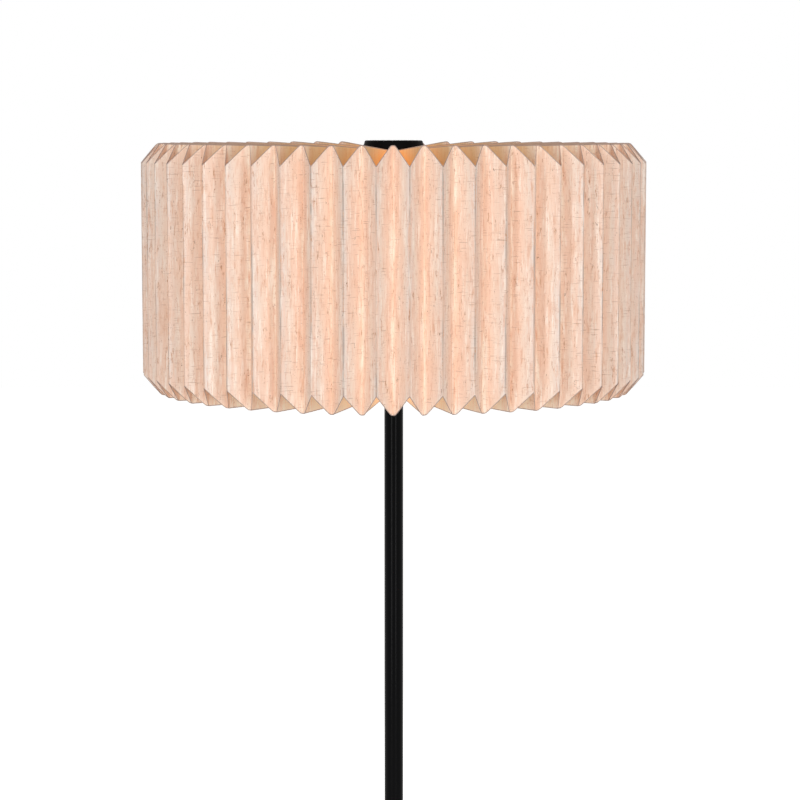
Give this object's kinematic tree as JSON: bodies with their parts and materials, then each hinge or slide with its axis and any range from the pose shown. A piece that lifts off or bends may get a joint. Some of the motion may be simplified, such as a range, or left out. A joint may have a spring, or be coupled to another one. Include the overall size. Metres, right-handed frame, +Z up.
{
  "type": "floor lamp",
  "caption": "Floor lamp with a deep-pleated concertina paper shade round an opal light tube, a black cap, a slim black pole and a round weighted base.",
  "frame": {"origin": "centre of the base's underside, on the floor", "axes": "+Z up along the pole, -Y towards the viewer, +X to the viewer's right"},
  "size_m": [0.499, 0.499, 1.4985],
  "materials": {
    "rubber": "matt",
    "iron": "as cast",
    "black_paint": "satin powder coat",
    "brass": "turned",
    "zinc": "zinc plated",
    "bare_steel": "turned",
    "nylon": "smooth",
    "clear_plastic": "clear",
    "paper": "matt printed paper, translucent",
    "aluminium": "extruded",
    "board": "white solder mask",
    "light": "phosphor, lit",
    "opal_plastic": "opal, lit from inside",
    "black_plastic": "fine matt"
  },
  "bodies": {
    "stand": {"foot_ring": "rubber", "base_weight": "iron", "base_cover": "black_paint", "cable_gland": "rubber", "base_nipple": "brass", "base_washer": "zinc", "base_nut": "zinc", "tube_plug": "bare_steel", "base_collar": "black_paint", "collar_screw": "bare_steel", "lower_tube": "black_paint", "lower_coupler": "black_paint", "middle_tube": "black_paint", "upper_coupler": "black_paint", "upper_tube": "black_paint", "pole_head": "bare_steel", "bearing_washer": "nylon", "light_bar": "aluminium", "light_boards": "board", "light_chips": "light", "opal_tube": "opal_plastic", "top_plate": "aluminium", "cap_stud": "zinc", "stud_nut": "zinc"},
    "carrier": {"carrier_disc": "black_paint"},
    "shade": {"pleated_shade": "paper", "spine_tube": "clear_plastic"},
    "cap": {"cap": "black_plastic", "cap_insert": "brass"}
  },
  "joints": [
    {"name": "shade_turn", "type": "hinge", "parent": "stand", "child": "carrier", "pos_m": [0, 0, 1.25], "axis": [0, 0, 1], "continuous": true},
    {"name": "shade_lift", "type": "slide", "parent": "carrier", "child": "shade", "axis": [0, 0, 1], "range_m": [0, 0.26]},
    {"name": "cap_lift", "type": "slide", "parent": "shade", "child": "cap", "axis": [0, 0, 1], "range_m": [0, 0.03]}
  ]
}
